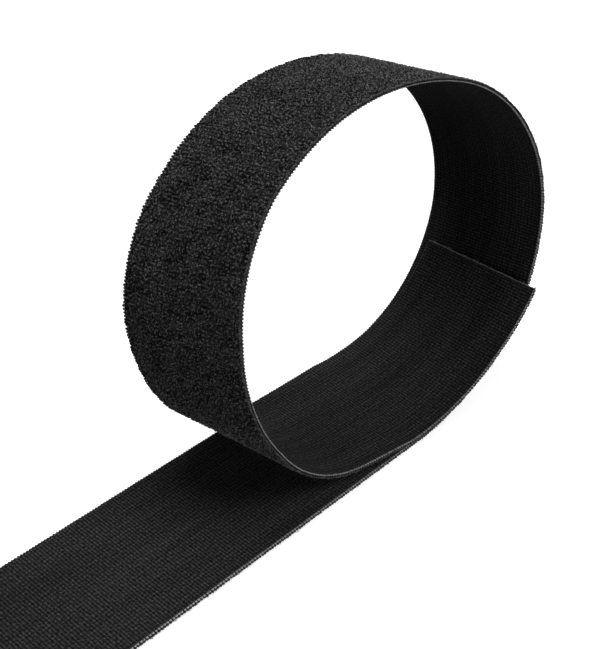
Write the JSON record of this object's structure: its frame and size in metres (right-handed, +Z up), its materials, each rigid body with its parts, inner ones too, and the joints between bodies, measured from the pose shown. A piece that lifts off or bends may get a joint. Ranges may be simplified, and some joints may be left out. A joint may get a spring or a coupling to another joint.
{
  "type": "hook and loop tape roll",
  "caption": "Soft black loop fastener tape with its tail lying flat and the rest curled up into an open loop; its pile face grips hook tape, and it unrolls along bending lines.",
  "frame": {"origin": "middle of the underside of the tail's bed, on the surface that the tape lies on", "axes": "+X along the flat tail towards the curl, +Y across the tape to its back edge, +Z up"},
  "size_m": [0.2687, 0.0734, 0.1221],
  "materials": {
    "loop_pile": "soft matt loop pile",
    "ground_weave": "matt ribbed weave",
    "selvedge": "matt woven edge",
    "sealed_end": "melted, slightly glossy"
  },
  "bodies": {
    "tail_lead": {"tail_lead_pile": "loop_pile", "tail_lead_ground": "ground_weave", "tail_lead_front_selvedge": "selvedge", "tail_lead_back_selvedge": "selvedge", "tail_end_seal": "sealed_end"},
    "tail_bed": {"tail_bed_pile": "loop_pile", "tail_bed_ground": "ground_weave", "tail_bed_front_selvedge": "selvedge", "tail_bed_back_selvedge": "selvedge"},
    "rise": {"rise_pile": "loop_pile", "rise_ground": "ground_weave", "rise_front_selvedge": "selvedge", "rise_back_selvedge": "selvedge"},
    "right_wall": {"right_wall_pile": "loop_pile", "right_wall_ground": "ground_weave", "right_wall_front_selvedge": "selvedge", "right_wall_back_selvedge": "selvedge"},
    "right_shoulder": {"right_shoulder_pile": "loop_pile", "right_shoulder_ground": "ground_weave", "right_shoulder_front_selvedge": "selvedge", "right_shoulder_back_selvedge": "selvedge"},
    "crown_right": {"crown_right_pile": "loop_pile", "crown_right_ground": "ground_weave", "crown_right_front_selvedge": "selvedge", "crown_right_back_selvedge": "selvedge"},
    "crown": {"crown_pile": "loop_pile", "crown_ground": "ground_weave", "crown_front_selvedge": "selvedge", "crown_back_selvedge": "selvedge"},
    "crown_left": {"crown_left_pile": "loop_pile", "crown_left_ground": "ground_weave", "crown_left_front_selvedge": "selvedge", "crown_left_back_selvedge": "selvedge"},
    "left_shoulder": {"left_shoulder_pile": "loop_pile", "left_shoulder_ground": "ground_weave", "left_shoulder_front_selvedge": "selvedge", "left_shoulder_back_selvedge": "selvedge"},
    "left_wall": {"left_wall_pile": "loop_pile", "left_wall_ground": "ground_weave", "left_wall_front_selvedge": "selvedge", "left_wall_back_selvedge": "selvedge"},
    "left_heel": {"left_heel_pile": "loop_pile", "left_heel_ground": "ground_weave", "left_heel_front_selvedge": "selvedge", "left_heel_back_selvedge": "selvedge"},
    "overlap_floor": {"overlap_floor_pile": "loop_pile", "overlap_floor_ground": "ground_weave", "overlap_floor_front_selvedge": "selvedge", "overlap_floor_back_selvedge": "selvedge"},
    "overlap_rise": {"overlap_rise_pile": "loop_pile", "overlap_rise_ground": "ground_weave", "overlap_rise_front_selvedge": "selvedge", "overlap_rise_back_selvedge": "selvedge"},
    "overlap_end": {"overlap_end_pile": "loop_pile", "overlap_end_ground": "ground_weave", "overlap_end_front_selvedge": "selvedge", "overlap_end_back_selvedge": "selvedge", "inner_end_seal": "sealed_end"}
  },
  "joints": [
    {"name": "lift_tail", "type": "hinge", "parent": "tail_bed", "child": "tail_lead", "pos_m": [-0.0525, 0, 0.0015], "axis": [0, 1, 0], "range_deg": [0, 80], "stiffness_Nm_per_rad": 0.02},
    {"name": "unroll_rise", "type": "hinge", "parent": "tail_bed", "child": "rise", "pos_m": [0.0525, 0, 0], "axis": [0, 1, 0], "range_deg": [0, 8.1], "stiffness_Nm_per_rad": 0.15},
    {"name": "unroll", "type": "hinge", "parent": "rise", "child": "right_wall", "pos_m": [0.0931, 0.00038, 0.01202], "axis": [0.0317, 0.9937, -0.107], "range_deg": [0, 34.2], "stiffness_Nm_per_rad": 0.15},
    {"name": "unroll_right_shoulder", "type": "hinge", "parent": "right_wall", "child": "right_shoulder", "pos_m": [0.11756, 0.00358, 0.04608], "axis": [0.0871, 0.9854, -0.146], "range_deg": [0, 40.2], "stiffness_Nm_per_rad": 0.12},
    {"name": "unroll_crown_right", "type": "hinge", "parent": "right_shoulder", "child": "crown_right", "pos_m": [0.11115, 0.01021, 0.08701], "axis": [0.0871, 0.9854, -0.146], "range_deg": [0, 38.3], "stiffness_Nm_per_rad": 0.1},
    {"name": "unroll_crown", "type": "hinge", "parent": "crown_right", "child": "crown", "pos_m": [0.07834, 0.0168, 0.11268], "axis": [0.0711, 0.9836, -0.166], "range_deg": [0, 29.8], "stiffness_Nm_per_rad": 0.08},
    {"name": "unroll_crown_left", "type": "hinge", "parent": "crown", "child": "crown_left", "pos_m": [0.03619, 0.02036, 0.11641], "axis": [0.0667, 0.9758, -0.2083], "range_deg": [0, 26.7], "stiffness_Nm_per_rad": 0.06},
    {"name": "curl_in", "type": "hinge", "parent": "crown_left", "child": "left_shoulder", "pos_m": [-0.00161, 0.01894, 0.09822], "axis": [-0.0769, -0.9699, 0.2312], "range_deg": [0, 6], "stiffness_Nm_per_rad": 0.05},
    {"name": "curl_in_left_wall", "type": "hinge", "parent": "left_shoulder", "child": "left_wall", "pos_m": [-0.02139, 0.01272, 0.0629], "axis": [0.0125, -0.983, 0.1834], "range_deg": [0, 8.1], "stiffness_Nm_per_rad": 0.04},
    {"name": "curl_in_left_heel", "type": "hinge", "parent": "left_wall", "child": "left_heel", "pos_m": [-0.01175, 0.00547, 0.02369], "axis": [0.0042, -0.9834, 0.1815], "range_deg": [0, 10.1], "stiffness_Nm_per_rad": 0.03},
    {"name": "curl_in_overlap_floor", "type": "hinge", "parent": "left_heel", "child": "overlap_floor", "pos_m": [0.02353, 0.00101, 0.00466], "axis": [-0.0687, -0.9964, 0.0494], "range_deg": [0, 12.1], "stiffness_Nm_per_rad": 0.02},
    {"name": "curl_in_overlap_rise", "type": "hinge", "parent": "overlap_floor", "child": "overlap_rise", "pos_m": [0.04843, -0.0008, 0.00429], "axis": [-0.0699, -0.9971, -0.0291], "range_deg": [0, 15.1], "stiffness_Nm_per_rad": 0.015},
    {"name": "curl_in_overlap_end", "type": "hinge", "parent": "overlap_rise", "child": "overlap_end", "pos_m": [0.08826, -0.00335, 0.01698], "axis": [-0.106, -0.9907, 0.0854], "range_deg": [0, 15.1], "stiffness_Nm_per_rad": 0.006}
  ],
  "couplings": [
    {"joint": "unroll_rise", "follows": "unroll", "ratio": 0.23392},
    {"joint": "unroll_right_shoulder", "follows": "unroll", "ratio": 1.1725},
    {"joint": "unroll_crown_right", "follows": "unroll", "ratio": 1.117},
    {"joint": "unroll_crown", "follows": "unroll", "ratio": 0.86842},
    {"joint": "unroll_crown_left", "follows": "unroll", "ratio": 0.77778},
    {"joint": "curl_in_left_wall", "follows": "curl_in", "ratio": 1.3333},
    {"joint": "curl_in_left_heel", "follows": "curl_in", "ratio": 1.6667},
    {"joint": "curl_in_overlap_floor", "follows": "curl_in", "ratio": 2},
    {"joint": "curl_in_overlap_rise", "follows": "curl_in", "ratio": 2.5},
    {"joint": "curl_in_overlap_end", "follows": "curl_in", "ratio": 2.5}
  ]
}
